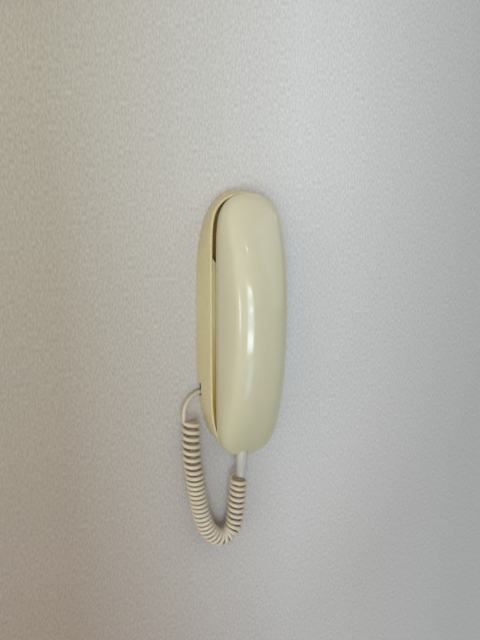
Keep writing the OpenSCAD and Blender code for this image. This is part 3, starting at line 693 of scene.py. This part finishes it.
def coil_line():
    """The cord's centreline: out of the notch, down into the coil, round and up into the boot."""
    axis = [Vector(COIL_START)] + curved(COIL, 16) + [Vector(COIL_END)]
    frames = frames_along(axis)
    run = [0.0]
    for a, b in zip(axis, axis[1:]):
        run.append(run[-1] + (b - a).length)
    total = run[-1]
    turn_r = (COIL_D - CORD_D) / 2 - 0.05

    def at(s):
        """The axis at a distance along it: the point and the two normals there."""
        k = 0
        while k < len(run) - 2 and run[k + 1] < s:
            k += 1
        f = min(1.0, max(0.0, (s - run[k]) / max(run[k + 1] - run[k], 1e-9)))
        p = axis[k].lerp(axis[k + 1], f)
        u = frames[k][1].lerp(frames[k + 1][1], f).normalized()
        w = frames[k][2].lerp(frames[k + 1][2], f).normalized()
        return p, u, w

    def pitch(f):
        """Length of a turn at a share of the coil's length."""
        k = max(i for i, (share, _) in enumerate(PITCHES[:-1]) if share <= f)
        (f0, p0), (f1, p1) = PITCHES[k], PITCHES[k + 1]
        return p0 + (p1 - p0) * (f - f0) / (f1 - f0)

    # stations along the axis, and how far round the cord has gone at each. The turns come in at
    # enter_r and ease to their full size, and ease out again towards the tail.
    ease_in, ease_out, step, enter_r = 2.4, 1.8, 0.22, 5.4
    stations, angles = [0.0], [0.0]
    while stations[-1] + step < total:
        s = stations[-1]
        start = min(1.0, s / ease_in)
        end = min(1.0, (total - s) / ease_out)
        rate = start * (2 - start) * (0.5 + 0.5 * end) / pitch(s / total)
        stations.append(s + step)
        angles.append(angles[-1] + 2 * math.pi * step * rate)
    # the last turn closes on the side where the tail leaves
    stretch = 2 * math.pi * round(angles[-1] / (2 * math.pi)) / angles[-1]

    points = []
    for s, angle in zip(stations, angles):
        p, u, w = at(s)
        start = min(1.0, s / ease_in)
        end = min(1.0, (total - s) / ease_out)
        wide = end * end * (3 - 2 * end)
        r = (enter_r + (turn_r - enter_r) * start) * wide
        a = angle * stretch
        points.append(p + r * (math.cos(a) * u - math.sin(a) * w) + (1 - wide) * TAIL_SIDE)
    lead = [Vector(LEAD_START)] + curved(LEAD, 6)
    tail = curved([TAIL_START, BOOT_END] + [Vector(p) for p in reversed(BOOT[1:-1])], 5)
    return lead + points[1:] + tail, axis


def cord():
    """The curly cord as one tube, which runs from the base to the handset."""
    line, axis = coil_line()
    # even spacing, so that the tube's rings are neither crowded nor sparse
    spacing = 0.9
    even = [line[0]]
    for p in line[1:]:
        if (p - even[-1]).length > spacing:
            even.append(p)
    even[-1] = line[-1]
    piece = tube("curly_cord", even, [CORD_D / 2 - 0.02] * len(even), 12)
    # painted shade: full on the side that faces the coil's axis, none on the outside, and only where the
    # cord lies at a turn's distance from the axis
    least_r, most_r = 0.003, 0.0068
    hidden = piece.data.attributes.new("painted_shade_side", "FLOAT", "POINT")
    axis_frame = [place(p) for p in axis]
    centres = [place(p) for p in even]
    values = []
    for vertex in piece.data.vertices:
        c = min(centres, key=lambda q: (q - vertex.co).length_squared)
        a = min(axis_frame, key=lambda q: (q - c).length_squared)
        out = c - a
        if not least_r <= out.length <= most_r:
            values.append(0.0)
            continue
        facing = (vertex.co - c).normalized().dot(out.normalized())
        values.append(min(1.0, max(0.0, 0.55 - 0.95 * facing)))
    hidden.data.foreach_set("value", values)
    piece.data.materials.append(CORD_VINYL)
    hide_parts("cord_lead", "cord_coil", "cord_tail")
    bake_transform(piece)


cord()


# ---- keys' figures ----

def legends():
    """A raised figure in ink on each key."""
    figures = {"star": "*", "hash": "#"}
    size, star_size, proud = 0.0052, 0.007, 0.00002
    for key in KEYS:
        figure = figures.get(key[4:], key[4:])
        low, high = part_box(key)
        text = bpy.data.curves.new(f"figure_{key[4:]}", "FONT")
        text.body = figure
        text.size = star_size if figure == "*" else size
        text.extrude = 2 * proud
        text.align_x, text.align_y = "CENTER", "CENTER"
        obj = bpy.data.objects.new(f"figure_{key[4:]}", text)
        bpy.context.scene.collection.objects.link(obj)
        obj.matrix_world = Matrix(((-1, 0, 0, (low.x + high.x) / 2), (0, 0, 1, high.y + proud),
                                   (0, 1, 0, (low.z + high.z) / 2), (0, 0, 0, 1)))
        obj.data.materials.append(LEGEND)
        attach(obj, key)


legends()


# ---- wall, lights, camera ----

def wall_paper():
    """Pale paper with an upright grain, and the room's uneven light and shade painted into its colour. It
    is clear from behind.
    """
    mat, nodes, links, bsdf = node_material("wall_paper")
    coord = nodes.new("ShaderNodeTexCoord")
    # painted light and shade: darker away from the upper left, warmer to the left and greyer to the far
    # right
    away = nodes.new("ShaderNodeVectorMath")
    away.operation = "DISTANCE"
    away.inputs[1].default_value = (-0.13, 0, 0.17)
    links.new(coord.outputs["Object"], away.inputs[0])
    fall = spread(nodes, links, away.outputs["Value"], 0, 1, (0, 0.5))
    split = nodes.new("ShaderNodeSeparateXYZ")
    links.new(coord.outputs["Object"], split.inputs["Vector"])
    left = spread(nodes, links, split.outputs["X"], 1, 0, (-0.13, 0.055))
    far = mix_colour(nodes, links, left, (0.42, 0.39, 0.37), (0.26, 0.185, 0.14))
    near = mix_colour(nodes, links, left, (0.69, 0.675, 0.655), (0.405, 0.355, 0.275))
    tone = mix_colour(nodes, links, fall, near, far)
    right = spread(nodes, links, split.outputs["X"], 0, 0.65, (0.1, 0.28))
    tone = mix_colour(nodes, links, right, tone, (0.34, 0.335, 0.33))
    # the paper's fine upright grain
    grain = nodes.new("ShaderNodeMapping")
    grain.inputs["Scale"].default_value = (900, 1, 330)
    threads = nodes.new("ShaderNodeTexNoise")
    threads.inputs["Scale"].default_value = 1
    threads.inputs["Detail"].default_value = 1
    links.new(coord.outputs["Object"], grain.inputs["Vector"])
    links.new(grain.outputs["Vector"], threads.inputs["Vector"])
    light = spread(nodes, links, threads.outputs["Fac"], 0.84, 1.16, (0.25, 0.75))
    grained = nodes.new("ShaderNodeVectorMath")
    grained.operation = "SCALE"
    links.new(tone, grained.inputs[0])
    links.new(light, grained.inputs["Scale"])
    links.new(grained.outputs["Vector"], bsdf.inputs["Base Color"])
    bsdf.inputs["Roughness"].default_value = 0.85
    bump(nodes, links, bsdf, threads.outputs["Fac"], 0.3, 0.0002)
    geometry = nodes.new("ShaderNodeNewGeometry")
    clear = nodes.new("ShaderNodeBsdfTransparent")
    choose = nodes.new("ShaderNodeMixShader")
    links.new(geometry.outputs["Backfacing"], choose.inputs["Fac"])
    links.new(bsdf.outputs["BSDF"], choose.inputs[1])
    links.new(clear.outputs["BSDF"], choose.inputs[2])
    links.new(choose.outputs["Shader"], nodes["Material Output"].inputs["Surface"])
    return mat


def wall():
    """The wall, which is open behind the base, so that the telephone's back can be looked at."""
    steps, gap = 96, 0.05
    points = []
    for k in range(steps):
        t = 2 * math.pi * (k + 0.5) / steps
        for share in (0.9, 1.25, 2.5, 8, 26):
            x, y = outline_point(share * FOOT["w"] / 2, share * FOOT["l"] / 2, FOOT["mid"], 2, (2, 2), t)
            points.append((x, y, -gap))
    cols = len(points) // steps
    mesh = bpy.data.meshes.new("wall")
    mesh.from_pydata([place(p) for p in points], [], grid_faces(steps, cols, True, False))
    obj = bpy.data.objects.new("wall", mesh)
    bpy.context.scene.collection.objects.link(obj)
    if mesh.polygons[0].normal.y > 0:
        mesh.flip_normals()
    mesh.materials.append(wall_paper())


wall()


def lamp(name, azimuth, elevation, distance, width, height, watts, colour=(1, 1, 1)):
    """An area lamp aimed at the telephone, from a direction as seen from it."""
    way = direction(azimuth, elevation)
    data = bpy.data.lights.new(name, "AREA")
    data.shape = "RECTANGLE"
    data.size, data.size_y = width, height
    data.energy = watts
    data.color = colour
    obj = bpy.data.objects.new(name, data)
    obj.location = way * distance
    obj.rotation_mode = "QUATERNION"
    obj.rotation_quaternion = way.to_track_quat("Z", "Y")
    bpy.context.scene.collection.objects.link(obj)


# Cool daylight from a window in front and a weaker one at the right, and the small lights that
# only the gloss shows
lamp("window", -22.5, -6.5, 2.4, 1.2, 1.06, 16, (0.66, 0.84, 1))
lamp("upper_pane", -22.5, 4.5, 2.3, 0.75, 0.16, 2.4, (0.8, 0.94, 1))
lamp("middle_pane", -20, -4, 2.3, 0.6, 0.09, 1.4, (0.85, 0.97, 1))
lamp("lower_pane", -24, -16.5, 2.3, 1.05, 0.24, 6, (0.8, 0.96, 1))
lamp("right_window", 55, 20, 2.4, 2.2, 2.2, 9.8, (0.6, 0.8, 1))
lamp("far_window", -73, -7, 2.4, 0.24, 0.4, 2.6, (0.75, 0.97, 1))
lamp("floor_glow", -14, -33, 2.4, 0.8, 0.75, 4.6, (0.33, 0.62, 1))
lamp("ceiling", -12, 27, 2.4, 0.14, 0.1, 0.7)
lamp("side", 87, 30, 2.4, 0.07, 0.07, 0.9)


def room(strength, lobes):
    """The room's own soft light: even, with broad brighter sides, each an azimuth, an elevation, a
    sharpness and a peak."""
    world = bpy.data.worlds.new("room")
    bpy.context.scene.world = world
    world.use_nodes = True
    nodes, links = world.node_tree.nodes, world.node_tree.links
    background = nodes["Background"]
    background.inputs["Color"].default_value = (1, 0.94, 0.86, 1)
    coord = nodes.new("ShaderNodeTexCoord")
    total = None
    for azimuth, elevation, sharpness, peak in lobes:
        dot = nodes.new("ShaderNodeVectorMath")
        dot.operation = "DOT_PRODUCT"
        dot.inputs[1].default_value = direction(azimuth, elevation)
        links.new(coord.outputs["Generated"], dot.inputs[0])
        positive = nodes.new("ShaderNodeMath")
        positive.operation = "MAXIMUM"
        positive.inputs[1].default_value = 0
        links.new(dot.outputs["Value"], positive.inputs[0])
        power = nodes.new("ShaderNodeMath")
        power.operation = "POWER"
        power.inputs[1].default_value = sharpness
        links.new(positive.outputs[0], power.inputs[0])
        add = nodes.new("ShaderNodeMath")
        add.operation = "MULTIPLY_ADD"
        add.inputs[1].default_value = peak
        add.inputs[2].default_value = strength
        links.new(power.outputs[0], add.inputs[0])
        if total is not None:
            links.new(total, add.inputs[2])
        total = add.outputs[0]
    # the camera sees an even background, whatever the lobes are
    path = nodes.new("ShaderNodeLightPath")
    seen = nodes.new("ShaderNodeMix")
    links.new(path.outputs["Is Camera Ray"], seen.inputs["Factor"])
    links.new(total, seen.inputs["A"])
    seen.inputs["B"].default_value = 0.6
    links.new(seen.outputs["Result"], background.inputs["Strength"])


room(0.315, [(0, 80, 2, 0.8), (-68, 5, 4, 1.25)])


def camera():
    """At the photograph's viewing angle: 28 degrees to the left and 11 above."""
    back = direction(-28, 11)
    roll = math.radians(0.39)
    target = Vector((0.0046, 0, 0.00045))
    distance = 0.429
    right = (-back).cross(Vector((0, 0, 1))).normalized()
    up = right.cross(-back)
    x = right * math.cos(roll) + up * math.sin(roll)
    y = -right * math.sin(roll) + up * math.cos(roll)
    data = bpy.data.cameras.new("camera")
    data.sensor_width = 36
    data.lens = 31.5
    data.clip_start = 0.01
    obj = bpy.data.objects.new("camera", data)
    turn = Matrix((x, y, back)).transposed().to_4x4()
    obj.matrix_world = Matrix.Translation(target + back * distance) @ turn
    bpy.context.scene.collection.objects.link(obj)
    bpy.context.scene.camera = obj


camera()

bpy.context.scene.view_settings.view_transform = "Standard"

bpy.context.view_layer.update()
